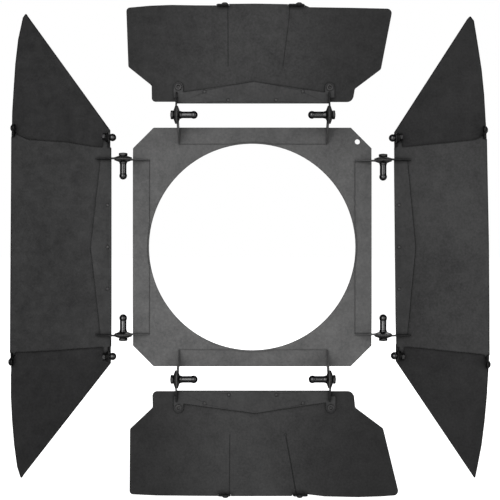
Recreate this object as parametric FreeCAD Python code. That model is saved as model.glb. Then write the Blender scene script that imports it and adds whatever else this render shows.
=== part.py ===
import FreeCAD, Part
import math
import os

# Barn door attachment for a stage lantern: a square frame plate that slides into the
# lantern's accessory runners, four leaves on friction hinges, and a folding wing on each
# end of the two large side leaves.
#
# Millimetres, +Z up.  The plate stands in the XZ plane with its back face on Y = 0 and
# the beam leaves toward -Y.  Origin: centre of the light aperture on the plate's back face.
# A "height" is measured forward from the plate's back face, so y = -height.

V = FreeCAD.Vector
FORWARD = V(0, -1, 0)

# ---------------------------------------------------------------- driving dimensions
PLATE_SIDE = 254.0            # standard ten inch accessory frame
PLATE_HALF = PLATE_SIDE / 2
PLATE_T = 1.5
PLATE_CHAMFER = 22.0
PLATE_CORNER_R = 1.0
APERTURE_R = 110.0
CABLE_HOLE_R = 2.75
CABLE_HOLE_AT = 112.0         # both ways from the centre, upper right corner

# Hinge stacks.  Each side is laid out as if it were the top one, then turned about Y
# and shifted.  pivot: pivot line from the centre; height: its height;
# half_pitch: stack centre from the middle of the side; shift: (x, z) after turning;
# ends: names of the stacks at -x and +x before turning.
STACKS = {
    "top": dict(turn=0.0, pivot=137.1, height=26.0, half_pitch=79.2,
                shift=(0.6, 0), ends=("left", "right")),
    "bottom": dict(turn=180.0, pivot=137.6, height=26.0, half_pitch=79.5,
                   shift=(0.85, 0), ends=("right", "left")),
    "left": dict(turn=270.0, pivot=136.4, height=9.0, half_pitch=93.05,
                 shift=(0, 0), ends=("lower", "upper")),
    "right": dict(turn=90.0, pivot=138.3, height=9.0, half_pitch=92.5,
                  shift=(0, -0.6), ends=("upper", "lower")),
}

# Bracket sheet and its hinge ears
EAR_T = 1.0
EAR_R = 9.2
STRIP_W = 17.6                # frame bracket strip, measured in from the plate's edge
FRAME_EAR_SHOULDER = 3.4      # straight inner edge of a frame ear
FRAME_EAR_OVERHANG = 0.3      # ear foot past the plate's edge
LEAF_EAR_SHOULDER = 2.2       # straight far edge of a leaf ear
OUTER_FOLD_R = 0.9
INNER_FOLD_R = 0.4
APERTURE_CLEARANCE = 1.6      # frame brackets are cut back from the aperture by this

# Friction hinge hardware
STUD_R = 2.5                  # M5 stud
RUN_R = 2.56                  # its running hole
WASHER_T = 0.3                # friction washer between the two ears
WASHER_R = 8.0
CONE_H = 2.2
HINGE_CONE = dict(hole_r=RUN_R, rim_r=9.4, top_r=4.2, height=CONE_H, wall=1.0,
                  hollow_r=3.9, rim_w=1.6)
NUT_AF = 8.0
NUT_H = 2.75
STUD_SHOW = 0.35              # stud standing out of the nut
PIN_REACH = 21.9              # ball end from the stack's centre
PIN_STEM_R = 3.45
PIN_BALL_R = 4.05
PIN_COLLAR_R = 4.1
EAR_FACE = WASHER_T / 2 + EAR_T   # outer face of either ear from the stack's centre

# Leaves
LEAF_T = 1.0
SIDE_LEAF_H = 1.0             # back of the side leaf sheets
END_LEAF_H = 16.0             # back of the top and bottom leaf sheets

# Rivets through the leaf brackets
RIVET_R = 1.2
RIVET_HEAD_R = 1.9
RING_R = 2.0                  # shank of the large hollow rivets
LOBE_R = 5.2                  # bracket lobe around a hollow rivet
LOBE_ROOT = 156.0             # lobe root from the centre

# Edge clips on the top and bottom leaves
CLIP_T = 0.9
CLIP_FOOT_T = 0.8
CLIP_FOOT_REACH = 7.0
CLIP_RIVET_H = 19.5           # clip rivet height
CLIP_EAR_ABOVE = 3.6          # ear above the rivet
CLIP_EAR_R = 3.0
CLIP_HOLE_R = 1.55
CLIP_NICK_SIDE = 0.15         # side clearance of the clip's nick in the leaf

# Wing hinges
WING_T = 0.9
WING_AXIS_H = 7.6
WING_STUD_R = 2.0             # M4
WING_RUN_R = 2.06
WING_EAR_T = 1.0
WING_EAR_R = 4.5
WING_FAR_EAR_R = 3.7          # lower ears at the outer end
WING_GAP = 0.05
WING_SEAT = 0.03              # play between the washers and the ears they press
WING_CONE_H = 1.6
WING_CONE = dict(hole_r=WING_RUN_R, rim_r=5.5, top_r=3.2, height=WING_CONE_H, wall=0.8,
                 hollow_r=2.6, rim_w=1.2)
WING_NUT_AF = 7.0
WING_NUT_H = 2.8
WING_STUD_SHOW = 0.6          # stud standing out of the nut
KNOB_R = 4.0
KNOB_NECK_R = 3.4
KNOB_LIFT = 0.15              # length of the knob's neck
KNOB_INSET = 4.7              # ear face outboard of the knob, along X

CONE_RIM_T = 0.25
CUT_OVER = 1.0                # cutters run past the sheet by this on each side
NICK_OVER = 0.5               # the same for the nicks


# ---------------------------------------------------------------- outlines
def chain_wire(items):
    """Closed wire from items: a vector is a corner, a (start, mid, end) tuple an arc."""
    edges = []
    for i, item in enumerate(items):
        following = items[(i + 1) % len(items)]
        end = item
        if isinstance(item, tuple):
            edges.append(Part.Arc(*item).toShape())
            end = item[2]
        start = following[0] if isinstance(following, tuple) else following
        if (end - start).Length > 1e-6:
            edges.append(Part.LineSegment(end, start).toShape())
    return Part.Wire(edges)


def rounded(corners, place):
    """Corner list (a, b[, radius]) to a face; place maps (a, b) to a vector.
    A radius too large for its neighbouring edges is reduced."""
    items = []
    for i, corner in enumerate(corners):
        a, b = corner[:2]
        radius = corner[2] if len(corner) > 2 else 0.0
        if radius <= 0:
            items.append(place(a, b))
            continue
        before = corners[i - 1]
        after = corners[(i + 1) % len(corners)]
        to_before = V(before[0] - a, before[1] - b, 0)
        to_after = V(after[0] - a, after[1] - b, 0)
        half_angle = to_before.getAngle(to_after) / 2
        setback = min(radius / math.tan(half_angle),
                      0.49 * to_before.Length, 0.49 * to_after.Length)
        radius = setback * math.tan(half_angle)
        to_before.normalize()
        to_after.normalize()
        bisector = to_before + to_after
        bisector.normalize()
        to_arc = radius / math.sin(half_angle) - radius
        steps = (to_before * setback, bisector * to_arc, to_after * setback)
        items.append(tuple(place(a + step.x, b + step.y) for step in steps))
    return Part.Face(chain_wire(items))


def slab(corners, back, front):
    """Sheet with its outline in (x, z[, radius]), from height back to height front."""
    face = rounded(corners, lambda x, z: V(x, -back, z))
    return face.extrude(V(0, -(front - back), 0))


def tangent_point(point, centre, radius, turn):
    """Where the line from a point touches a circle; turn (1 or -1) picks the side."""
    da, db = point[0] - centre[0], point[1] - centre[1]
    angle = math.atan2(db, da) + turn * math.acos(radius / math.hypot(da, db))
    return (centre[0] + radius * math.cos(angle), centre[1] + radius * math.sin(angle))


def ear_face(foot, eye, radius, place):
    """An ear: the foot's points, then a round end about the eye, tangent to both sides."""
    first, last = foot[0], foot[-1]
    da = 0.5 * (first[0] + last[0]) - eye[0]
    db = 0.5 * (first[1] + last[1]) - eye[1]
    length = math.hypot(da, db)
    tip = (eye[0] - radius * da / length, eye[1] - radius * db / length)
    faces = []
    for turn in (1, -1):
        start = tangent_point(last, eye, radius, turn)
        end = tangent_point(first, eye, radius, -turn)
        arc = (place(*start), place(*tip), place(*end))
        faces.append(Part.Face(chain_wire([place(*point) for point in foot] + [arc])))
    # the larger face keeps the round end outside the foot
    return max(faces, key=lambda face: face.Area)


# ---------------------------------------------------------------- solids
def polygon(points):
    return Part.makePolygon(points + [points[0]])


def revolved(wire):
    """Closed wire in the XZ plane turned about Z."""
    solid = Part.Face(wire).revolve(V(0, 0, 0), V(0, 0, 1), 360)
    if solid.Volume < 0:
        solid.reverse()
    return solid


def put(shape, origin, direction):
    """Move a shape so that its Z axis runs along direction from origin.
    Its X axis takes +Y, or +X where the direction itself is near Y."""
    z = V(direction)
    z.normalize()
    x = V(0, 1, 0) if abs(z.y) < 0.9 else V(1, 0, 0)
    x = x - z * x.dot(z)
    x.normalize()
    y = z.cross(x)
    matrix = FreeCAD.Matrix(x.x, y.x, z.x, origin.x,
                            x.y, y.y, z.y, origin.y,
                            x.z, y.z, z.z, origin.z,
                            0, 0, 0, 1)
    moved = shape.copy()
    moved.Placement = FreeCAD.Placement(matrix).multiply(moved.Placement)
    return moved


def turned(profile, origin, direction):
    """Closed (radius, length) profile turned about the direction through origin."""
    wire = polygon([V(radius, 0, length) for radius, length in profile])
    return put(revolved(wire), origin, direction)


def turned_ball(profile, ball_r, ball_at, origin, direction):
    """As turned, but the profile starts on the axis, ends on the neck and runs on to a
    ball centred at length ball_at, which closes it."""
    points = [V(radius, 0, length) for radius, length in profile]
    neck_r = profile[-1][0]
    join = V(neck_r, 0, ball_at - math.sqrt(ball_r ** 2 - neck_r ** 2))
    tip = V(0, 0, ball_at + ball_r)
    angle = 0.5 * (math.atan2(join.z - ball_at, join.x) + math.pi / 2)
    mid = V(ball_r * math.cos(angle), 0, ball_at + ball_r * math.sin(angle))
    edges = [Part.LineSegment(start, end).toShape()
             for start, end in zip(points, points[1:] + [join])]
    edges.append(Part.Arc(join, mid, tip).toShape())
    edges.append(Part.LineSegment(tip, points[0]).toShape())
    return put(revolved(Part.Wire(edges)), origin, direction)


def hex_nut(across_flats, length, hole_r, origin, direction):
    """Hexagon nut with chamfered corners; a flat faces Y."""
    flat_r = across_flats / 2
    corner_r = flat_r / math.cos(math.radians(30))
    corners = []
    for i in range(6):
        angle = math.radians(30 + 60 * i)
        corners.append(V(corner_r * math.cos(angle), corner_r * math.sin(angle), 0))
    body = Part.Face(polygon(corners)).extrude(V(0, 0, length))
    chamfer = (corner_r - flat_r) * 0.62
    envelope_r = corner_r + 0.01
    envelope = [(0, 0), (flat_r + 0.01, 0), (envelope_r, chamfer),
                (envelope_r, length - chamfer), (flat_r, length), (0, length)]
    body = body.common(revolved(polygon([V(radius, 0, z) for radius, z in envelope])))
    body = body.cut(Part.makeCylinder(hole_r, length + 2, V(0, 0, -1)))
    return put(body.Solids[0], origin, direction)


def dished_washer(origin, direction, hole_r, rim_r, top_r, height, wall, hollow_r, rim_w):
    """Cone washer standing on its rim; hollow_r is the roof of its hollow side."""
    return turned([(hole_r, height - wall), (hollow_r, height - wall), (rim_r - rim_w, 0),
                   (rim_r, 0), (rim_r, CONE_RIM_T), (top_r, height), (hole_r, height)],
                  origin, direction)


def one(shape):
    """Tidy a fused shape and hand back its single solid."""
    tidy = shape.removeSplitter()
    assert len(tidy.Solids) == 1, "expected one solid, got %d" % len(tidy.Solids)
    return tidy.Solids[0]


def fuse(parts):
    body = parts[0]
    for part in parts[1:]:
        body = body.fuse(part)
    return body


def drill(shape, spots, radius, back, front):
    """Holes at (x, z) spots through a sheet between two heights."""
    for x, z in spots:
        start = V(x, -(back - CUT_OVER), z)
        shape = shape.cut(Part.makeCylinder(radius, front - back + 2 * CUT_OVER,
                                            start, FORWARD))
    return shape


def export(name, parts):
    solids = [solid for part in parts for solid in part.Solids]
    shape = Part.makeCompound(solids) if len(solids) > 1 else solids[0]
    assert shape.isValid(), name
    shape.exportStep("parts/" + name + ".step")


# ---------------------------------------------------------------- frame plate
def frame_plate():
    near, far = PLATE_HALF - PLATE_CHAMFER, PLATE_HALF
    outline = [(-far, near), (-near, far), (near, far), (far, near),
               (far, -near), (near, -far), (-near, -far), (-far, -near)]
    plate = slab([(x, z, PLATE_CORNER_R) for x, z in outline], 0, PLATE_T)
    plate = drill(plate, [(0, 0)], APERTURE_R, 0, PLATE_T)
    plate = drill(plate, [(CABLE_HOLE_AT, CABLE_HOLE_AT)], CABLE_HOLE_R, 0, PLATE_T)
    return one(plate)


# ---------------------------------------------------------------- bracket ears
def turn_side(shape, side):
    """Move a shape laid out at the top to its own side."""
    stack = STACKS[side]
    moved = shape.copy()
    moved.rotate(V(0, 0, 0), V(0, 1, 0), stack["turn"])
    dx, dz = stack["shift"]
    moved.translate(V(dx, 0, dz))
    return moved


def bracket_ear(side, foot, x):
    """Hinge ear from x to x + EAR_T; foot in (distance from the centre, height)."""
    pivot, height = STACKS[side]["pivot"], STACKS[side]["height"]
    face = ear_face(foot, (pivot, height), EAR_R, lambda a, b: V(x, -b, a))
    ear = face.extrude(V(EAR_T, 0, 0))
    return ear.cut(Part.makeCylinder(RUN_R, EAR_T + 2, V(x - 1, -height, pivot), V(1, 0, 0)))


# ---------------------------------------------------------------- frame brackets
def fold_fillet(solid, radius, fold_x, fold_h):
    """Round the two fold edges that run along Z at x = -fold_x and fold_x."""
    def on_fold(edge):
        box = edge.BoundBox
        return (isinstance(edge.Curve, Part.Line)
                and box.ZLength > 3 and box.XLength < 1e-4 and box.YLength < 1e-4
                and abs(abs(box.XMin) - fold_x) < 1e-3 and abs(box.YMin + fold_h) < 1e-3)

    edges = [edge for edge in solid.Edges if on_fold(edge)]
    if not edges:
        return solid
    # guards against a fillet that fails: the fold then stays sharp
    try:
        filleted = solid.makeFillet(radius, edges)
        if filleted.isValid() and len(filleted.Solids) == 1:
            return filleted.Solids[0]
    except Exception:
        pass
    return solid


def frame_bracket(side):
    """Channel: a strip on the plate's front, both ends folded forward into hinge ears."""
    end = STACKS[side]["half_pitch"] - WASHER_T / 2
    back, front = PLATE_T, PLATE_T + EAR_T
    inner, outer = PLATE_HALF - STRIP_W, PLATE_HALF
    strip = slab([(-end, inner), (end, inner), (end, outer), (-end, outer)], back, front)
    foot = [(inner, back + FRAME_EAR_SHOULDER), (inner, back),
            (outer + FRAME_EAR_OVERHANG, back)]
    ears = [bracket_ear(side, foot, x) for x in (-end, end - EAR_T)]
    body = one(fuse([strip] + ears))
    body = fold_fillet(body, OUTER_FOLD_R, end, back)
    body = fold_fillet(body, INNER_FOLD_R, end - EAR_T, front)
    body = turn_side(body, side)
    return one(drill(body, [(0, 0)], APERTURE_R + APERTURE_CLEARANCE, 0, 4))


# ---------------------------------------------------------------- friction stacks
# Each takes a side and the stack's end, -1 or 1, along X before turning.
def on_stack(side, end, offset):
    """Point on a stack's axis, offset outward along it from the stack's centre."""
    stack = STACKS[side]
    return V(end * (stack["half_pitch"] + offset), -stack["height"], stack["pivot"])


def frame_cone(side, end):
    washer = dished_washer(on_stack(side, end, -EAR_FACE), V(-end, 0, 0), **HINGE_CONE)
    return turn_side(washer, side)


def friction_washer(side, end):
    profile = [(RUN_R, 0), (WASHER_R, 0), (WASHER_R, WASHER_T), (RUN_R, WASHER_T)]
    washer = turned(profile, on_stack(side, end, -WASHER_T / 2), V(end, 0, 0))
    return turn_side(washer, side)


def leaf_cone(side, end):
    washer = dished_washer(on_stack(side, end, EAR_FACE), V(end, 0, 0), **HINGE_CONE)
    return turn_side(washer, side)


def hinge_nut(side, end):
    origin = on_stack(side, end, EAR_FACE + CONE_H)
    return turn_side(hex_nut(NUT_AF, NUT_H, RUN_R, origin, V(end, 0, 0)), side)


def clamp_pin(side, end):
    """Ball, stem, collar and threaded stud turned from one bar; the ball points inward."""
    shoulder = EAR_FACE + CONE_H
    ball_at = PIN_REACH - PIN_BALL_R - shoulder
    stud = 2 * shoulder + NUT_H + STUD_SHOW
    profile = [(0, -stud), (STUD_R - 0.4, -stud), (STUD_R, -stud + 0.4), (STUD_R, 0),
               (PIN_COLLAR_R - 0.3, 0), (PIN_COLLAR_R, 0.3), (PIN_COLLAR_R, 0.8),
               (PIN_STEM_R + 0.3, 1.5), (PIN_STEM_R, 2.6), (PIN_STEM_R, ball_at - 3.2)]
    pin = turned_ball(profile, PIN_BALL_R, ball_at,
                      on_stack(side, end, -shoulder), V(-end, 0, 0))
    return turn_side(pin, side)


# ---------------------------------------------------------------- bracket rivets
def small_rivet(x, z, back, front):
    """Low domed head in front, flattened tail behind."""
    grip = front - back
    head_r = RIVET_HEAD_R
    profile = [(0, -0.6), (head_r - 0.5, -0.6), (head_r - 0.2, 0), (RIVET_R, 0),
               (RIVET_R, grip), (head_r, grip), (head_r - 0.15, grip + 0.35),
               (head_r - 0.75, grip + 0.72), (0, grip + 0.85)]
    return turned(profile, V(x, -back, z), FORWARD)


def ring_rivet(x, z, back, front):
    """Large hollow rivet: rolled ring in front, low head behind."""
    grip = front - back
    profile = [(0, -1.0), (2.6, -1.0), (3.3, -0.5), (3.3, 0), (RING_R, 0), (RING_R, grip),
               (3.75, grip), (3.7, grip + 0.7), (3.1, grip + 1.25), (2.2, grip + 1.3),
               (1.6, grip + 0.9), (1.5, grip - 0.6), (0, grip - 0.6)]
    return turned(profile, V(x, -back, z), FORWARD)


# ---------------------------------------------------------------- leaf brackets
def leaf_bracket(side, outline, back, ear_foot, rivets, rings=()):
    """Shallow V stiffener on the leaf's front face with two ears folded forward.
    ear_foot is the foot's (far, near) distance from the centre."""
    front = back + EAR_T
    parts = [slab(outline, back, front)]
    for x, z in rings:
        root = math.copysign(LOBE_ROOT, z)
        low, high = min(z, root), max(z, root)
        parts.append(Part.makeCylinder(LOBE_R, EAR_T, V(x, -back, z), FORWARD))
        parts.append(slab([(x - LOBE_R, low), (x + LOBE_R, low),
                           (x + LOBE_R, high), (x - LOBE_R, high)], back, front))
    far, near = ear_foot
    foot = [(far, back + LEAF_EAR_SHOULDER), (far, back), (near, back)]
    inner = STACKS[side]["half_pitch"] + WASHER_T / 2
    for x in (-inner - EAR_T, inner):
        parts.append(turn_side(bracket_ear(side, foot, x), side))
    body = drill(fuse(parts), rivets, RIVET_R, back, front)
    return one(drill(body, rings, RING_R, back, front))


# ---------------------------------------------------------------- top and bottom leaves
# outline, bracket: (x, z[, corner radius]).
# grooves: points (x, z) from the outer edge inward, width, depth and the radius of the
#   round dimple at the inner end.
# rivets, rings: (x, z) of the small and the hollow rivets.
# clips: (ear start x, ear end x, rivet x).  clip_z: inner face of the clip ears.
# inward: direction along Z toward the centre.
END_LEAVES = {
    "top": dict(
        outline=[(-132.1, 250.6, 4.0), (-107.0, 252.9), (-85.0, 253.7), (-60.0, 253.3),
                 (-37.0, 253.2), (-25.3, 253.4), (-24.7, 254.8), (3.3, 255.1),
                 (37.5, 254.5), (53.5, 254.2), (60.0, 251.3), (102.2, 250.7),
                 (147.2, 249.7, 5.0), (134.9, 186.2, 4.0), (107.6, 165.7, 4.0),
                 (105.2, 151.9, 7.0), (-105.3, 152.2, 4.0), (-105.5, 169.2, 3.0),
                 (-129.9, 188.8, 3.0)],
        grooves=[dict(points=[(-25.6, 257.0), (-25.4, 225.0), (-25.3, 189.3)],
                      width=0.9, depth=0.3),
                 dict(points=[(39.6, 257.0), (38.4, 238.0), (35.2, 213.0), (32.2, 189.3)],
                      width=0.9, depth=0.3)],
        bracket=[(-79.45, 150.2), (-79.45, 161.0), (1.6, 173.1), (81.85, 161.1),
                 (81.85, 150.2)],
        rivets=[(-25.1, 153.8), (25.0, 153.8), (-49.9, 162.8), (53.0, 162.8)],
        rings=[(-77.4, 167.7), (81.2, 167.1)],
        clips=[(-37.4, -24.4, -28.7), (37.5, 54.6, 49.0)],
        clip_z=252.5,
        inward=-1),
    "bottom": dict(
        outline=[(-104.8, -151.2, 5.0), (-104.4, -168.3, 3.0), (-128.2, -190.7, 3.0),
                 (-128.7, -259.3, 4.0), (-100.0, -260.6), (-60.0, -261.0),
                 (-20.5, -261.3), (41.0, -261.2), (42.5, -260.0), (58.5, -259.5),
                 (76.0, -261.6), (110.0, -262.4), (135.0, -261.6), (154.2, -260.2, 5.0),
                 (137.2, -190.2, 4.0), (108.0, -168.4, 4.0), (106.2, -151.2, 7.0)],
        grooves=[dict(points=[(-23.9, -264.0), (-23.7, -230.0), (-23.5, -196.4)],
                      width=0.9, depth=0.3),
                 dict(points=[(47.0, -264.0), (41.0, -230.0), (34.9, -196.8)],
                      width=1.2, depth=0.45, dimple_r=1.5)],
        bracket=[(-79.45, -150.4), (-79.45, -163.4), (2.9, -174.6), (81.85, -162.3),
                 (81.85, -150.4)],
        rivets=[(-24.5, -155.0), (25.3, -155.0), (-49.9, -163.9), (53.0, -163.9)],
        rings=[(-77.2, -168.7), (82.2, -168.7)],
        clips=[(-35.6, -22.6, -28.1), (42.5, 58.0, 49.5)],
        clip_z=-259.3,
        inward=1),
}
END_EAR_FOOT = (162.0, 150.2)


def groove_cutter(points, width, depth, dimple_r=0.0):
    """Cutter for a shallow scored line along a polyline in the sheet's front face."""
    left, right = [], []
    for i, (x, z) in enumerate(points):
        before = points[max(0, i - 1)]
        after = points[min(len(points) - 1, i + 1)]
        dx, dz = after[0] - before[0], after[1] - before[1]
        length = math.hypot(dx, dz)
        side_x, side_z = -dz / length * width / 2, dx / length * width / 2
        left.append((x + side_x, z + side_z))
        right.append((x - side_x, z - side_z))
    front = END_LEAF_H + LEAF_T
    cutter = slab(left + right[::-1], front - depth, front + CUT_OVER)
    if dimple_r:
        x, z = points[-1]
        start = V(x, -(front - depth), z)
        cutter = cutter.fuse(Part.makeCylinder(dimple_r, depth + CUT_OVER, start, FORWARD))
    return cutter


def end_leaf_panel(leaf):
    back, front = END_LEAF_H, END_LEAF_H + LEAF_T
    panel = slab(leaf["outline"], back, front)
    for groove in leaf["grooves"]:
        panel = panel.cut(groove_cutter(**groove))
    # the outer edge is nicked where a clip's ear passes
    edge_z = leaf["clip_z"]
    beyond_z = edge_z - leaf["inward"] * 6.0
    low, high = min(edge_z, beyond_z), max(edge_z, beyond_z)
    for start_x, end_x, _ in leaf["clips"]:
        x0, x1 = start_x - CLIP_NICK_SIDE, end_x + CLIP_NICK_SIDE
        panel = panel.cut(slab([(x0, low), (x1, low), (x1, high), (x0, high)],
                               back - NICK_OVER, front + NICK_OVER))
    panel = drill(panel, leaf["rivets"], RIVET_R, back, front)
    return one(drill(panel, leaf["rings"], RING_R, back, front))


def edge_clip(start_x, end_x, rivet_x, edge_z, inward):
    """Angle clip: foot on the leaf's back, ear standing along the outer edge."""
    back = END_LEAF_H - CLIP_FOOT_T
    outer_z = edge_z - inward * CLIP_T
    foot_z = edge_z + inward * CLIP_FOOT_REACH
    low, high = min(outer_z, foot_z), max(outer_z, foot_z)
    foot = slab([(start_x, low), (end_x, low), (end_x, high), (start_x, high)],
                back, END_LEAF_H)
    top = CLIP_RIVET_H + CLIP_EAR_ABOVE
    ear_z = min(edge_z, outer_z)
    face = rounded([(start_x, back), (end_x, back), (end_x, top, CLIP_EAR_R),
                    (start_x, top, CLIP_EAR_R)], lambda x, height: V(x, -height, ear_z))
    ear = face.extrude(V(0, 0, CLIP_T))
    ear = ear.cut(Part.makeCylinder(CLIP_HOLE_R, 4, V(rivet_x, -CLIP_RIVET_H, edge_z - 2),
                                    V(0, 0, 1)))
    return one(fuse([foot, ear]))


def clip_rivet(x, edge_z, inward):
    """Low rivet through a clip's ear, its larger head outward."""
    profile = [(0, -0.6), (1.9, -0.6), (2.3, -0.3), (2.3, 0), (1.5, 0), (1.5, CLIP_T),
               (3.4, CLIP_T), (3.4, 1.5), (3.0, 2.3), (2.0, 2.8), (0, 3.0)]
    return turned(profile, V(x, -CLIP_RIVET_H, edge_z), V(0, 0, -inward))


# ---------------------------------------------------------------- wing hinges
class WingHinge:
    """Wing hinge line.  Places on it are (along, across, height): along runs from the
    outer end toward the knob end, zero at the knob end's ear plane; across runs toward
    the wing, which lies above the leaf (up = 1) or below it (up = -1)."""

    def __init__(self, knob, rivet, rivet_ear_x, up):
        def on_line(x):
            slope = (rivet[1] - knob[1]) / (rivet[0] - knob[0])
            return V(x, 0, knob[1] + slope * (x - knob[0]))

        self.start = on_line(knob[0] + math.copysign(KNOB_INSET, knob[0]))
        self.along = self.start - on_line(rivet_ear_x)
        self.length = self.along.Length
        self.along.normalize()
        across = V(-self.along.z, 0, self.along.x)
        self.across = across if across.z * up > 0 else across * -1

    def point(self, along, across, height):
        flat = self.start + self.along * along + self.across * across
        return V(flat.x, -height, flat.z)

    def on_axis(self, along):
        return self.point(along, 0, WING_AXIS_H)

    def sheet(self, corners, back, front):
        """Slab with its corners in (along, across)."""
        points = [self.point(along, across, 0) for along, across in corners]
        return slab([(point.x, point.z) for point in points], back, front)

    def ear(self, foot, start, radius):
        """Ear across the hinge line; foot in (across, height)."""
        face = ear_face(foot, (0.0, WING_AXIS_H), radius,
                        lambda across, height: self.point(start, across, height))
        ear = face.extrude(self.along * WING_EAR_T)
        return ear.cut(Part.makeCylinder(WING_RUN_R, WING_EAR_T + 2,
                                         self.on_axis(start - 1), self.along))


# ---------------------------------------------------------------- side leaves and wings
# outline, bracket, wing outlines: (x, z[, corner radius]).
# ear_foot: as in leaf_bracket.  rivet_x: line of the bracket rivets.
# hinges: (x, z) of the knob and of the outer rivet on the hinge line, x of the outer ear
#   plane, and the wing's direction along Z.
SIDE_LEAVES = {
    "left": dict(
        outline=[(-149.95, 106.0, 1.0), (-156.5, 106.0), (-170.8, 107.5), (-197.2, 112.0),
                 (-237.8, 114.5, 6.0), (-250.6, 120.3), (-251.9, 122.4), (-256.5, 122.6),
                 (-258.0, -117.9, 0.6), (-253.8, -117.4), (-251.9, -112.6, 2.0),
                 (-217.6, -111.2), (-184.0, -108.7), (-154.5, -106.6),
                 (-149.95, -106.6, 1.0)],
        bracket=[(-149.65, 94.2), (-161.5, 94.2), (-171.9, -0.1), (-161.5, -94.2),
                 (-149.65, -94.2)],
        ear_foot=(166.5, 149.65),
        rivet_x=-153.8,
        hinges={"upper": WingHinge((-148.1, 115.9), (-254.9, 126.2), -253.35, 1),
                "lower": WingHinge((-148.0, -115.85), (-257.0, -121.9), -255.6, -1)},
        wings={
            "upper": [(-151.2, 103.0), (-151.2, 124.4), (-239.1, 246.0),
                      (-241.0, 249.2, 1.2), (-244.4, 244.4), (-249.5, 221.0),
                      (-252.5, 195.0), (-254.2, 169.7), (-255.8, 144.0), (-256.0, 132.0),
                      (-256.5, 121.0), (-256.6, 116.0), (-252.2, 115.5), (-238.1, 111.3),
                      (-197.5, 108.8), (-171.1, 104.3), (-156.9, 103.0)],
            "lower": [(-150.7, -103.6), (-150.6, -123.9), (-243.5, -242.9),
                      (-246.3, -247.6, 1.2), (-250.6, -234.1), (-253.8, -210.6),
                      (-255.9, -185.4), (-257.2, -160.0), (-257.2, -137.0),
                      (-256.9, -130.0), (-257.4, -121.0), (-257.8, -112.0),
                      (-251.9, -109.6), (-217.6, -108.2), (-184.0, -105.7),
                      (-154.5, -103.6)]}),
    "right": dict(
        outline=[(151.1, 106.4, 1.0), (157.8, 106.4), (233.8, 113.9), (242.6, 116.5, 3.0),
                 (244.4, 119.4), (249.8, 119.7), (252.0, 3.9), (252.8, -114.0),
                 (252.9, -120.6), (248.3, -120.3), (247.4, -114.9, 2.0), (166.0, -106.8),
                 (153.2, -106.8, 1.0)],
        bracket=[(150.75, 93.05), (165.1, 93.05), (174.0, -0.1), (165.1, -94.25),
                 (152.6, -94.25)],
        ear_foot=(169.0, 150.75),
        rivet_x=156.3,
        hinges={"upper": WingHinge((148.8, 115.3), (248.5, 124.0), 246.9, 1),
                "lower": WingHinge((150.75, -115.2), (251.5, -124.6), 249.75, -1)},
        wings={
            "upper": [(151.4, 103.4), (151.2, 122.2), (229.4, 243.3), (232.4, 246.2, 1.2),
                      (236.3, 241.0), (240.3, 216.5), (244.6, 188.4), (247.2, 162.2),
                      (248.8, 134.3), (249.1, 130.0), (249.5, 122.0), (249.9, 113.5),
                      (243.1, 112.6), (234.0, 110.9), (158.0, 103.4)],
            "lower": [(152.9, -103.8), (153.0, -121.9), (234.8, -243.4),
                      (237.4, -247.2, 1.2), (240.2, -233.3), (244.5, -210.8),
                      (247.7, -185.4), (250.0, -160.1), (251.4, -137.0), (251.8, -131.0),
                      (252.3, -124.0), (252.7, -114.0), (247.1, -111.9),
                      (166.3, -103.8)]}),
}
SIDE_RIVET_Z = (44.6, -0.2, -44.6)


def side_leaf_panel(leaf, rivets):
    back, front = SIDE_LEAF_H, SIDE_LEAF_H + LEAF_T
    parts = [slab(leaf["outline"], back, front)]
    nicks = []
    for hinge in leaf["hinges"].values():
        outer = -hinge.length
        # knob end: a flat finger of the sheet reaches over the wing to carry the ear
        parts.append(hinge.sheet([(-5.6, -13.0), (0.0, -13.0), (0.0, 0.8), (-5.6, 0.8)],
                                 back, front))
        parts.append(hinge.ear([(-4.5, front + 0.3), (-4.5, back), (0.8, back), (0.8, front)],
                               -WING_EAR_T, WING_EAR_R))
        parts.append(hinge.ear([(-8.6, front + 0.8), (-8.6, back), (-4.7, back)],
                               outer, WING_FAR_EAR_R))
        # room for the wing's ear to turn past the corner
        nicks.append(hinge.sheet([(outer - 7.0, -9.4), (outer, -9.4),
                                  (outer, 9.0), (outer - 7.0, 9.0)],
                                 back - NICK_OVER, front + NICK_OVER))
    panel = fuse(parts)
    for nick in nicks:
        panel = panel.cut(nick)
    return one(drill(panel, rivets, RIVET_R, back, front))


def wing(outline, hinge):
    """Flat sheet with two ears just outside the leaf's."""
    foot = [(4.6, 1.2), (4.6, 0.0), (-4.6, 0.0), (-4.6, 1.2)]
    return one(fuse([slab(outline, 0.0, WING_T),
                     hinge.ear(foot, WING_GAP, WING_EAR_R),
                     hinge.ear(foot, -hinge.length - WING_GAP - WING_EAR_T,
                               WING_FAR_EAR_R)]))


def wing_rivet(hinge):
    """Domed rivet set loosely through both ears at the outer end."""
    grip = WING_EAR_T + WING_GAP + WING_EAR_T
    play = 0.02
    profile = [(0, -grip - 0.8), (2.1, -grip - 0.8), (2.6, -grip - 0.5),
               (2.6, -grip - play), (WING_STUD_R, -grip - play), (WING_STUD_R, play),
               (2.9, play), (2.85, 0.35), (2.4, 0.9), (1.6, 1.2), (0, 1.3)]
    origin = hinge.on_axis(-hinge.length - WING_GAP - WING_EAR_T)
    return turned(profile, origin, hinge.along * -1)


def wing_nut(hinge):
    origin = hinge.on_axis(-WING_EAR_T - WING_CONE_H - WING_SEAT)
    return hex_nut(WING_NUT_AF, WING_NUT_H, WING_RUN_R, origin, hinge.along * -1)


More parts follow.
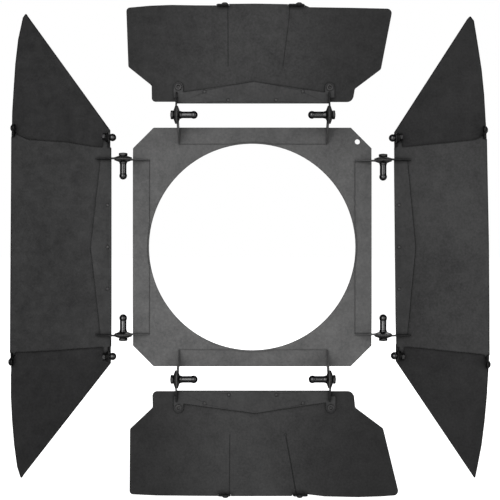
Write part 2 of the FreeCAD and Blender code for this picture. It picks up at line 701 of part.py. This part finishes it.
def wing_washers(hinge):
    """Dished washers either side of the two ears at the knob end."""
    nut_side = hinge.on_axis(-WING_EAR_T - WING_SEAT)
    knob_side = hinge.on_axis(WING_GAP + WING_EAR_T + WING_SEAT)
    return [dished_washer(nut_side, hinge.along * -1, **WING_CONE),
            dished_washer(knob_side, hinge.along, **WING_CONE)]


def wing_knob(hinge):
    """Ball knob on its stud, which passes through the washers, ears and nut."""
    stack = WING_EAR_T + WING_CONE_H + WING_SEAT
    seat = WING_GAP + stack
    stud = stack + WING_NUT_H + WING_STUD_SHOW
    profile = [(0, -stud), (WING_STUD_R - 0.35, -stud), (WING_STUD_R, -stud + 0.35),
               (WING_STUD_R, seat), (KNOB_NECK_R, seat)]
    ball_at = seat + math.sqrt(KNOB_R ** 2 - KNOB_NECK_R ** 2) + KNOB_LIFT
    return turned_ball(profile, KNOB_R, ball_at, hinge.on_axis(0), hinge.along)


# ---------------------------------------------------------------- build and write
os.makedirs("parts", exist_ok=True)

export("base_plate", [frame_plate()])

STACK_ENDS = (-1, 1)
every_stack = [(side, end) for side in STACKS for end in STACK_ENDS]
export("frame_cone_washers", [frame_cone(side, end) for side, end in every_stack])
export("friction_washers", [friction_washer(side, end) for side, end in every_stack])
for side, stack in STACKS.items():
    export(side + "_frame_bracket", [frame_bracket(side)])
    export(side + "_cone_washers", [leaf_cone(side, end) for end in STACK_ENDS])
    export(side + "_hinge_nuts", [hinge_nut(side, end) for end in STACK_ENDS])
    for end, end_name in zip(STACK_ENDS, stack["ends"]):
        export(side + "_" + end_name + "_pin", [clamp_pin(side, end)])

for side, leaf in END_LEAVES.items():
    leaf_front = END_LEAF_H + LEAF_T
    bracket_front = leaf_front + EAR_T
    clip_z, inward = leaf["clip_z"], leaf["inward"]
    export(side + "_leaf_panel", [end_leaf_panel(leaf)])
    export(side + "_leaf_bracket",
           [leaf_bracket(side, leaf["bracket"], leaf_front, END_EAR_FOOT,
                         leaf["rivets"], leaf["rings"])])
    export(side + "_bracket_rivets",
           [small_rivet(x, z, END_LEAF_H, bracket_front) for x, z in leaf["rivets"]])
    export(side + "_ear_rivets",
           [ring_rivet(x, z, END_LEAF_H, bracket_front) for x, z in leaf["rings"]])
    export(side + "_edge_clips", [edge_clip(*clip, clip_z, inward) for clip in leaf["clips"]])
    export(side + "_clip_rivets",
           [clip_rivet(rivet_x, clip_z, inward) for _, _, rivet_x in leaf["clips"]])

for side, leaf in SIDE_LEAVES.items():
    leaf_front = SIDE_LEAF_H + LEAF_T
    bracket_front = leaf_front + EAR_T
    rivets = [(leaf["rivet_x"], z) for z in SIDE_RIVET_Z]
    hinges = leaf["hinges"]
    export(side + "_leaf_panel", [side_leaf_panel(leaf, rivets)])
    export(side + "_leaf_bracket",
           [leaf_bracket(side, leaf["bracket"], leaf_front, leaf["ear_foot"], rivets)])
    export(side + "_bracket_rivets",
           [small_rivet(x, z, SIDE_LEAF_H, bracket_front) for x, z in rivets])
    for position, hinge in hinges.items():
        export(side + "_" + position + "_wing", [wing(leaf["wings"][position], hinge)])
        export(side + "_" + position + "_wing_knob", [wing_knob(hinge)])
    export(side + "_wing_pivot_rivets", [wing_rivet(hinge) for hinge in hinges.values()])
    export(side + "_wing_pivot_nuts", [wing_nut(hinge) for hinge in hinges.values()])
    export(side + "_wing_washers",
           [washer for hinge in hinges.values() for washer in wing_washers(hinge)])
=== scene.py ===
# A black-coated frame with four leaves (top, bottom, left, right), two wings, brackets and
# their pins, knobs, rivets and washers. It stands upright above a pale floor: X runs left
# to right, Z is up, and the camera looks along +Y at the front. Units are metres.
import math
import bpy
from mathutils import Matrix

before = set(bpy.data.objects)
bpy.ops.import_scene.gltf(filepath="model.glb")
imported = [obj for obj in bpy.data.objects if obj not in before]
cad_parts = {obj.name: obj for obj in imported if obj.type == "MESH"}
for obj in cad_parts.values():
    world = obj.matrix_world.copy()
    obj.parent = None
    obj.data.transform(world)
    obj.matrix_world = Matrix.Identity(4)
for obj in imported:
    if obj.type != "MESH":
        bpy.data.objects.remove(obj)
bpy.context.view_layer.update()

from fnmatch import fnmatchcase
from functools import cached_property

import bpy
from mathutils import Vector

scene = bpy.context.scene


# ------------------------------------------------------------------ node helpers
class Net:
    """Shader network of a material or world. An input may be a socket, number or colour."""

    def __init__(self, owner):
        owner.use_nodes = True
        self.owner = owner
        self.tree = owner.node_tree
        self.tree.nodes.clear()

    def add(self, kind, inputs=None, **settings):
        """New node with its settings, and its inputs linked or set; None leaves one alone."""
        node = self.tree.nodes.new(kind)
        for setting, value in settings.items():
            setattr(node, setting, value)
        for key, value in (inputs or {}).items():
            if value is not None:
                self.feed(node.inputs[key], value)
        return node

    def feed(self, socket, value):
        if isinstance(value, bpy.types.NodeSocket):
            self.tree.links.new(value, socket)
        elif socket.type == "RGBA":
            rgb = (value,) * 3 if isinstance(value, (int, float)) else value
            socket.default_value = (*rgb, 1)
        else:
            socket.default_value = value

    @cached_property
    def coord(self):
        """Object coordinates, from one node shared by the whole network."""
        return self.add("ShaderNodeTexCoord").outputs["Object"]

    def noise(self, scale, detail, rough, distort=0.0, offset=(0, 0, 0), stretch=(1, 1, 1)):
        mapping = self.add("ShaderNodeMapping",
                           {"Location": offset, "Scale": stretch, "Vector": self.coord})
        texture = self.add("ShaderNodeTexNoise", {
            "Scale": scale, "Detail": detail, "Roughness": rough, "Distortion": distort,
            "Vector": mapping.outputs[0]})
        return texture.outputs["Fac"]

    def ramp(self, value, stops, interp="LINEAR"):
        """Grey ramp through (position, level) stops."""
        node = self.add("ShaderNodeValToRGB", {0: value})
        node.color_ramp.interpolation = interp
        elements = node.color_ramp.elements
        while len(elements) > 1:
            elements.remove(elements[-1])
        for i, (position, level) in enumerate(stops):
            element = elements[0] if i == 0 else elements.new(position)
            element.position = position
            element.color = (level, level, level, 1)
        return node.outputs[0]

    def fade(self, value, low, high, start=0.0, end=1.0, interp="LINEAR"):
        """Goes from start to end as the value goes from low to high."""
        return self.ramp(value, [(low, start), (high, end)], interp)

    def mix(self, factor, a, b, mode="MIX"):
        # 0, 6, 7 and output 2 are the factor, both colours and the colour result
        node = self.add("ShaderNodeMix", {0: factor, 6: a, 7: b},
                        data_type="RGBA", blend_type=mode)
        return node.outputs[2]

    def shade(self, color, factor):
        """Colour multiplied by a grey factor."""
        return self.mix(1.0, color, factor, "MULTIPLY")

    def maths(self, operation, a, b=0.0, clamp=False):
        node = self.add("ShaderNodeMath", {0: a, 1: b}, operation=operation, use_clamp=clamp)
        return node.outputs[0]

    def times(self, a, b, clamp=False):
        return self.maths("MULTIPLY", a, b, clamp)

    def dot(self, a, b):
        node = self.add("ShaderNodeVectorMath", {0: a, 1: b}, operation="DOT_PRODUCT")
        return node.outputs["Value"]

    def bump(self, height, strength, distance, normal=None):
        node = self.add("ShaderNodeBump", {"Strength": strength, "Distance": distance,
                                           "Height": height, "Normal": normal})
        return node.outputs[0]

    def edge(self, radius, gain, power):
        """0 on open faces, towards 1 within radius of an edge."""
        rounded = self.add("ShaderNodeBevel", {"Radius": radius}, samples=6).outputs[0]
        flat = self.add("ShaderNodeNewGeometry").outputs["Normal"]
        turned = self.maths("SUBTRACT", 1.0, self.dot(rounded, flat))
        return self.maths("POWER", self.times(turned, gain, clamp=True), power, clamp=True)

    def occlusion_shade(self, distance, power):
        """1 in open air, darker in corners; used to paint shade into corners."""
        node = self.add("ShaderNodeAmbientOcclusion", {"Distance": distance}, samples=6)
        return self.maths("POWER", node.outputs["AO"], power, clamp=True)

    def facing(self, low, high):
        """1 where the surface faces the viewer, 0 where it turns away."""
        node = self.add("ShaderNodeLayerWeight", {"Blend": 0.5})
        return self.fade(node.outputs["Facing"], low, high, start=1.0, end=0.0, interp="EASE")

    def finish(self, color, rough, normal, metallic=0.0, spec=0.5, coat=None, coat_rough=0.1):
        """Ends the network in a Principled surface and returns the material."""
        surface = self.add("ShaderNodeBsdfPrincipled", {
            "Base Color": color, "Roughness": rough, "Metallic": metallic,
            "Specular IOR Level": spec, "Coat Weight": coat, "Coat Roughness": coat_rough,
            "Normal": normal, "Coat Normal": None if coat is None else normal})
        self.add("ShaderNodeOutputMaterial", {0: surface.outputs[0]})
        return self.owner


def material_net(name):
    return Net(bpy.data.materials.new(name))


# ------------------------------------------------------------------ painted light and shade across a piece
def painted_light_slope(net, base, direction, depth):
    """Painted light and shade: brightens along the direction and darkens against it."""
    level = net.maths("ADD", net.dot(net.coord, direction), 0.5, clamp=True)
    return net.mix(1.0, base, net.mix(level, 1 - depth, 1 + depth), "MULTIPLY")


def distance_across(net, centre_x, reach):
    """Distance in X from centre_x, as a share of the reach."""
    x = net.add("ShaderNodeSeparateXYZ", {0: net.coord}).outputs[0]
    distance = net.maths("ABSOLUTE", net.maths("SUBTRACT", x, centre_x))
    return net.maths("DIVIDE", distance, reach)


def painted_light_hump(net, base, centre_x, depth):
    """Painted light and shade: brightest along the middle, falling off to both ends."""
    falloff = net.ramp(distance_across(net, centre_x, reach=0.14),
                       [(0.0, 0.0), (0.30, 0.12), (0.62, 0.8), (1.0, 1.0)], "B_SPLINE")
    return net.mix(falloff, base, net.shade(base, 1 - depth))


def painted_light_near_hinge(net, base, hinge_x, lift):
    """Painted light near the hinge edge, lifted there (lowered, as painted shade, for a
    negative lift).
    """
    near = net.fade(distance_across(net, hinge_x, reach=0.06), low=0.0, high=1.0,
                    start=1.0, end=0.0, interp="EASE")
    return net.mix(near, base, net.shade(base, 1 + lift))


# ------------------------------------------------------------------ materials
# Painted shade in the corners: reach of the occlusion, its power, brightness left at the
# bottom
CORNER_SHADE_FLAT = dict(distance=0.002, power=1.2, level=0.6)
CORNER_SHADE_LONG_LEAF = dict(distance=0.0055, power=3.2, level=0.08)
CORNER_SHADE_SIDE_LEAF = dict(distance=0.0045, power=2.2, level=0.15)
CORNER_SHADE_SMALL = dict(distance=0.004, power=2.0, level=0.2)


def powder_coat(name, dark, light, seed, spec, rough=0.60, rim=0.9, wear=0.5, painted_light_gradient=None,
                corner_shade=CORNER_SHADE_SMALL, rim_reach=0.0014):
    """Fine-texture baked coat: mottled grey-black, orange-peel surface and bare chips on the
    edges, with painted dark rims, painted shade in the corners and painted light across the
    piece.
    """
    net = material_net(name)
    offset = (seed, seed * 0.7, -seed)
    cloud = net.noise(scale=9.0, detail=3.0, rough=0.5, offset=offset, distort=0.6)
    patch = net.noise(scale=60.0, detail=5.0, rough=0.6, offset=offset, distort=0.3)
    grain = net.noise(scale=420.0, detail=4.0, rough=0.65, offset=offset)
    fine = net.noise(scale=1500.0, detail=2.0, rough=0.6, offset=offset)

    # mottling, with pale specks
    mottle = net.maths("ADD", net.times(cloud, 0.30), net.times(patch, 0.30))
    mottle = net.maths("ADD", mottle, net.times(grain, 0.40))
    base = net.mix(net.fade(mottle, low=0.36, high=0.64), dark, light)
    speck = net.fade(fine, low=0.60, high=0.72)
    base = net.mix(net.times(speck, 0.18), base, tuple(v * 2.2 for v in light))
    # painted light and shade across the piece, from the tone entry
    if painted_light_gradient:
        apply_light_gradient, place, amount = painted_light_gradient
        base = apply_light_gradient(net, base, place, amount)

    # rims: a painted dark outline, painted shade along the edges
    rim_shade_mask = net.edge(radius=rim_reach, gain=5.0, power=0.8)
    base = net.mix(net.times(rim_shade_mask, rim), base, tuple(v * 0.25 for v in dark))

    # bare metal chips on the sharpest edges
    chips = net.fade(net.noise(scale=170.0, detail=6.0, rough=0.7, offset=(3 + seed, 1, 2)),
                     low=0.66, high=0.70)
    chip = net.times(net.edge(radius=0.0007, gain=4.0, power=1.5), chips)
    chip = net.times(chip, wear, clamp=True)
    base = net.mix(chip, base, (0.22, 0.215, 0.21))
    # painted shade in the corners and creases, from ambient occlusion
    open_air = net.occlusion_shade(corner_shade["distance"], corner_shade["power"])
    base = net.mix(open_air, net.shade(base, corner_shade["level"]), base)

    roughness = net.fade(net.noise(scale=120.0, detail=4.0, rough=0.6, offset=(9, seed, 4)),
                         low=0.3, high=0.7, start=rough - 0.09, end=rough + 0.09)
    roughness = net.mix(chip, roughness, 0.38)
    # the painted dark rims lose their sheen as well
    sheen_outside_painted_shade = net.maths("SUBTRACT", 1.0, net.times(rim_shade_mask, rim), clamp=True)
    wave = net.bump(net.noise(scale=5.0, detail=1.5, rough=0.4, offset=offset, distort=0.4),
                    strength=0.35, distance=0.006)
    peel = net.bump(net.noise(scale=900.0, detail=3.0, rough=0.6, offset=offset),
                    strength=0.35, distance=0.00018, normal=wave)
    return net.finish(base, roughness, peel, metallic=net.times(chip, 0.85),
                      spec=net.times(sheen_outside_painted_shade, spec))


def gloss_enamel(name):
    """Thick glossy black dip on the clamp pins and knobs, with dust and small dents."""
    net = material_net(name)
    blotch = net.fade(net.noise(scale=260.0, detail=4.0, rough=0.6), low=0.35, high=0.7)
    base = net.mix(blotch, (0.0030, 0.0030, 0.0034), (0.0085, 0.0085, 0.0090))
    dust = net.fade(net.noise(scale=2200.0, detail=2.0, rough=0.6), low=0.66, high=0.72)
    base = net.mix(net.times(dust, 0.10), base, (0.18, 0.175, 0.17))
    worn = net.times(
        net.edge(radius=0.0005, gain=3.0, power=1.5),
        net.fade(net.noise(scale=500.0, detail=5.0, rough=0.7, offset=(4, 4, 4)),
                 low=0.55, high=0.62))
    base = net.mix(worn, base, (0.16, 0.155, 0.15))
    roughness = net.fade(net.noise(scale=380.0, detail=3.0, rough=0.6, offset=(1, 2, 3)),
                         low=0.3, high=0.7, start=0.16, end=0.30)
    dents = net.bump(net.noise(scale=320.0, detail=3.0, rough=0.5),
                     strength=0.20, distance=0.00022)
    facing = net.facing(low=0.02, high=0.24)
    return net.finish(base, roughness, dents, metallic=net.times(worn, 0.9),
                      spec=net.times(facing, 0.50), coat=net.times(facing, 0.42),
                      coat_rough=0.12)


def black_steel(name, level, rough, metallic, seed):
    """Black-oxide steel: warm-cool blotches, machining grain, bright rubbed corners, and
    painted shade in the corners, on the rims and on turned-away surfaces.
    """
    net = material_net(name)
    blotch = net.fade(net.noise(scale=320.0, detail=5.0, rough=0.65, offset=(seed, 2, 5)),
                      low=0.35, high=0.7)
    base = net.mix(blotch, (level * 0.55, level * 0.55, level * 0.6),
                   (level * 1.5, level * 1.45, level * 1.4))
    rubbed = net.times(
        net.edge(radius=0.00045, gain=3.5, power=1.3),
        net.fade(net.noise(scale=650.0, detail=4.0, rough=0.7, offset=(seed, 7, 1)),
                 low=0.45, high=0.6))
    base = net.mix(net.times(rubbed, 0.6), base, (0.24, 0.235, 0.23))
    # painted shade in the corners, from ambient occlusion
    base = net.mix(net.occlusion_shade(distance=0.003, power=1.0), net.shade(base, 0.3), base)
    roughness = net.fade(net.noise(scale=700.0, detail=3.0, rough=0.6, offset=(2, seed, 8)),
                         low=0.3, high=0.7, start=rough - 0.1, end=rough + 0.1)
    grain = net.bump(net.noise(scale=1300.0, detail=2.0, rough=0.6, stretch=(1, 1, 4)),
                     strength=0.25, distance=0.00008)
    # painted shade: rims and turned-away surfaces are darker and duller
    painted_dark_rim = net.times(net.edge(radius=0.0010, gain=4.0, power=0.8), 0.8)
    sheen_outside_painted_shade = net.times(net.facing(low=0.22, high=0.72),
                      net.maths("SUBTRACT", 1.0, painted_dark_rim, clamp=True))
    base = net.mix(sheen_outside_painted_shade, net.shade(base, 0.35), base)
    return net.finish(base, roughness, grain, metallic=metallic, spec=net.times(sheen_outside_painted_shade, 0.5))


def fibre(name):
    """Pressed vulcanised fibre: brown-grey felted flecks."""
    net = material_net(name)
    flecks = net.noise(scale=700.0, detail=6.0, rough=0.7, stretch=(1, 3, 1))
    base = net.mix(net.fade(flecks, low=0.3, high=0.7),
                   (0.055, 0.040, 0.028), (0.14, 0.105, 0.075))
    felt = net.bump(flecks, strength=0.4, distance=0.0002)
    return net.finish(base, rough=0.82, normal=felt, spec=0.2)


# What related coats share. A tone entry paints light and shade across the piece, as (function,
# place, amount).
FLAT = dict(spec=0.22, painted_light_gradient=(painted_light_slope, (-0.7, 0.0, -1.27), 0.36), corner_shade=CORNER_SHADE_FLAT)
LONG_LEAF = dict(rim=0.15, painted_light_gradient=(painted_light_hump, -0.004, 0.56), corner_shade=CORNER_SHADE_LONG_LEAF,
                 rim_reach=0.0020)
SIDE_LEAF = dict(spec=0.16, corner_shade=CORNER_SHADE_SIDE_LEAF, rim_reach=0.0026)
WING = dict(spec=0.14, rim_reach=0.0022)
BRACKET = dict(spec=0.18, rough=0.58, rim=0.95, wear=0.6)

# The leaves and wings share one black coat: the different levels of the left and right leaves,
# the top and bottom leaves and the two wings are painted light and shade.
COATS = {
    "plate": dict(FLAT, dark=(0.0462, 0.0462, 0.0465), light=(0.0962, 0.0957, 0.0953),
                  seed=1.3, rough=0.62),
    "frame_bracket": dict(FLAT, dark=(0.0430, 0.0430, 0.0434), light=(0.0885, 0.088, 0.0876),
                          seed=2.9, rim=0.55, wear=0.6),
    "top_leaf": dict(LONG_LEAF, dark=(0.0140, 0.0140, 0.0143), light=(0.0375, 0.0375, 0.0377),
                     seed=4.1, spec=0.15),
    "bottom_leaf": dict(LONG_LEAF, dark=(0.0165, 0.0165, 0.0168),
                        light=(0.0425, 0.0425, 0.0427), seed=9.3, spec=0.16),
    "left_leaf": dict(SIDE_LEAF, dark=(0.0080, 0.0080, 0.0082), light=(0.0235, 0.0235, 0.0237),
                      seed=5.2, painted_light_gradient=(painted_light_near_hinge, -0.150, 0.24)),
    "right_leaf": dict(SIDE_LEAF, dark=(0.0155, 0.0155, 0.0158),
                       light=(0.0395, 0.0395, 0.0397), seed=6.4,
                       painted_light_gradient=(painted_light_near_hinge, 0.152, -0.20)),
    "left_wing": dict(WING, dark=(0.0042, 0.0042, 0.0044), light=(0.0140, 0.0140, 0.0142),
                      seed=8.6),
    "right_wing": dict(WING, dark=(0.0055, 0.0055, 0.0057), light=(0.0182, 0.0182, 0.0184),
                       seed=11.6),
    "bracket": dict(BRACKET, dark=(0.0190, 0.0190, 0.0193), light=(0.0415, 0.0415, 0.0417),
                    seed=7.7),
    "side_bracket": dict(BRACKET, dark=(0.0130, 0.0130, 0.0133),
                         light=(0.0300, 0.0300, 0.0302), seed=13.7),
}

materials = {kind: powder_coat(kind + "_powder_coat", **look) for kind, look in COATS.items()}
materials.update(
    rivet=black_steel("painted_rivet", level=0.020, rough=0.55, metallic=0.1, seed=3.0),
    screw=black_steel("black_oxide_screw", level=0.009, rough=0.45, metallic=0.25, seed=6.0),
    cone=black_steel("black_spring_steel", level=0.016, rough=0.42, metallic=0.25, seed=9.0),
    gloss=gloss_enamel("gloss_black_enamel"),
    fibre=fibre("pressed_fibre"),
)

# ------------------------------------------------------------------ pieces
# Name pattern, material; the first match counts
PIECE_MATERIALS = (
    ("base_plate", "plate"),
    ("*_frame_bracket", "frame_bracket"),
    ("friction_washers", "fibre"),
    ("*cone_washers", "cone"),
    ("*_wing_washers", "cone"),
    ("left*_wing", "left_wing"),
    ("*_wing", "right_wing"),
    ("left_*leaf_panel", "left_leaf"),
    ("right_*leaf_panel", "right_leaf"),
    ("top_*leaf_panel", "top_leaf"),
    ("bottom_*leaf_panel", "bottom_leaf"),
    ("left_leaf_bracket", "side_bracket"),
    ("right_leaf_bracket", "side_bracket"),
    ("*_leaf_bracket", "bracket"),
    ("*_edge_clips", "bracket"),
    ("*_rivets", "rivet"),
    ("*_pin", "gloss"),
    ("*_knob", "gloss"),
    ("*", "screw"),
)

# Edge rounding, by how heavy the piece is
SHEET_ROUND = 0.0002
OTHER_ROUND = {"plate": 0.00025, "rivet": 0.0001, "screw": 0.00018, "cone": 0.00012,
               "gloss": 0.00015, "fibre": 0.00008}
WELD_DISTANCE = 2e-6
BEVEL_ANGLE = math.radians(38)
SMOOTH_ANGLE = math.radians(36)


def smooth_by_angle(name, angle):
    """Geometry nodes: smooth faces, with edges sharper than the angle kept sharp."""
    group = bpy.data.node_groups.new(name, "GeometryNodeTree")
    for direction in ("INPUT", "OUTPUT"):
        group.interface.new_socket("Geometry", in_out=direction,
                                   socket_type="NodeSocketGeometry")
    add, link = group.nodes.new, group.links.new
    start = add("NodeGroupInput")
    end = add("NodeGroupOutput")
    faces = add("GeometryNodeSetShadeSmooth")
    faces.domain = "FACE"
    edges = add("GeometryNodeSetShadeSmooth")
    edges.domain = "EDGE"
    edges.inputs["Shade Smooth"].default_value = False
    edge_angle = add("GeometryNodeInputMeshEdgeAngle")
    sharper = add("FunctionNodeCompare")
    sharper.data_type = "FLOAT"
    sharper.operation = "GREATER_THAN"
    sharper.inputs[1].default_value = angle
    link(start.outputs[0], faces.inputs["Geometry"])
    link(faces.outputs[0], edges.inputs["Geometry"])
    link(edge_angle.outputs["Unsigned Angle"], sharper.inputs[0])
    link(sharper.outputs[0], edges.inputs["Selection"])
    link(edges.outputs[0], end.inputs[0])
    return group


def dress(piece, kind, smoothing):
    """Gives a piece its material, rounded edges and shading."""
    piece.data.materials.clear()
    piece.data.materials.append(materials[kind])
    for face in piece.data.polygons:
        face.use_smooth = True
        face.material_index = 0
    weld = piece.modifiers.new("weld", "WELD")
    weld.merge_threshold = WELD_DISTANCE
    bevel = piece.modifiers.new("edge", "BEVEL")
    bevel.width = OTHER_ROUND.get(kind, SHEET_ROUND)
    bevel.segments = 2
    bevel.limit_method = "ANGLE"
    bevel.angle_limit = BEVEL_ANGLE
    bevel.use_clamp_overlap = True
    smooth = piece.modifiers.new("smooth", "NODES")
    smooth.node_group = smoothing
    weighted = piece.modifiers.new("weighted", "WEIGHTED_NORMAL")
    weighted.mode = "FACE_AREA"
    weighted.weight = 60
    weighted.keep_sharp = True


smoothing = smooth_by_angle("smooth_by_angle", SMOOTH_ANGLE)
for name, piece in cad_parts.items():
    kind = next(kind for pattern, kind in PIECE_MATERIALS if fnmatchcase(name, pattern))
    dress(piece, kind, smoothing)

# ------------------------------------------------------------------ stage
FLOOR_Z = -0.2665
FLOOR_HALF = 30.0


def place(name, data):
    ob = bpy.data.objects.new(name, data)
    scene.collection.objects.link(ob)
    return ob


def floor_material():
    """Plain diffuse to the lights; the camera also sees a glow that lifts it to near white."""
    net = material_net("pale_floor")
    is_camera = net.add("ShaderNodeLightPath").outputs["Is Camera Ray"]
    diffuse = net.add("ShaderNodeBsdfDiffuse", {"Color": 0.80}).outputs[0]
    glow = net.add("ShaderNodeEmission", {"Color": 1.0, "Strength": 0.82}).outputs[0]
    lifted = net.add("ShaderNodeAddShader", {0: diffuse, 1: glow}).outputs[0]
    seen = net.add("ShaderNodeMixShader", {0: is_camera, 1: diffuse, 2: lifted})
    net.add("ShaderNodeOutputMaterial", {0: seen.outputs[0]})
    return net.owner


def pale_floor():
    mesh = bpy.data.meshes.new("floor")
    corners = ((-1, -1), (1, -1), (1, 1), (-1, 1))
    mesh.from_pydata([(x * FLOOR_HALF, y * FLOOR_HALF, FLOOR_Z) for x, y in corners], [],
                     [(0, 1, 2, 3)])
    floor = place("floor", mesh)
    mesh.materials.append(floor_material())
    return floor


def studio_world():
    """White to the camera, dim to everything else."""
    world = bpy.data.worlds.new("studio")
    net = Net(world)
    is_camera = net.add("ShaderNodeLightPath").outputs["Is Camera Ray"]
    backdrop = net.add("ShaderNodeBackground", {"Color": 1.0, "Strength": 1.0})
    ambient = net.add("ShaderNodeBackground", {"Color": 1.0, "Strength": 0.34})
    seen = net.add("ShaderNodeMixShader",
                   {0: is_camera, 1: ambient.outputs[0], 2: backdrop.outputs[0]})
    net.add("ShaderNodeOutputWorld", {0: seen.outputs[0]})
    return world


def soft_light(name, location, target, size, power):
    light = bpy.data.lights.new(name, "AREA")
    light.shape = "RECTANGLE"
    light.size, light.size_y = size
    light.energy = power
    ob = place(name, light)
    ob.location = location
    aim = Vector(target) - Vector(location)
    ob.rotation_mode = "QUATERNION"
    ob.rotation_quaternion = aim.to_track_quat("-Z", "Y")
    ob.visible_camera = False


# Name, location, target, (width, height), power in watts
LIGHTS = (
    ("key", (-0.7, -2.2, 0.8), (0, 0, 0), (1.7, 1.4), 33),
    ("fill", (1.5, -1.3, 0.1), (0, 0, 0), (1.0, 1.4), 14),
    ("under", (-0.4, -1.4, -0.2), (0, 0, -0.1), (1.2, 0.3), 8),
    ("back", (0.6, 1.8, 1.3), (0, 0, 0), (1.4, 1.0), 26),
)

pale_floor()
scene.world = studio_world()
for light in LIGHTS:
    soft_light(*light)

# ------------------------------------------------------------------ camera
SENSOR_WIDTH = 36.0  # millimetres
CAMERA_DISTANCE = 1.0
VIEW_WIDTH = 0.53315  # width seen in the plane y = 0

camera_data = bpy.data.cameras.new("camera")
camera_data.sensor_width = SENSOR_WIDTH
camera_data.sensor_fit = "HORIZONTAL"
camera_data.lens = SENSOR_WIDTH * CAMERA_DISTANCE / VIEW_WIDTH
camera_data.clip_start = 0.02
camera_data.clip_end = 60.0
camera = place("camera", camera_data)
camera.location = (-0.00237, -CAMERA_DISTANCE, -0.00324)
camera.rotation_euler = (math.radians(90), 0, 0)
scene.camera = camera

scene.view_settings.view_transform = "Standard"
scene.view_settings.look = "None"
scene.view_settings.exposure = 0.0
scene.view_settings.gamma = 1.0
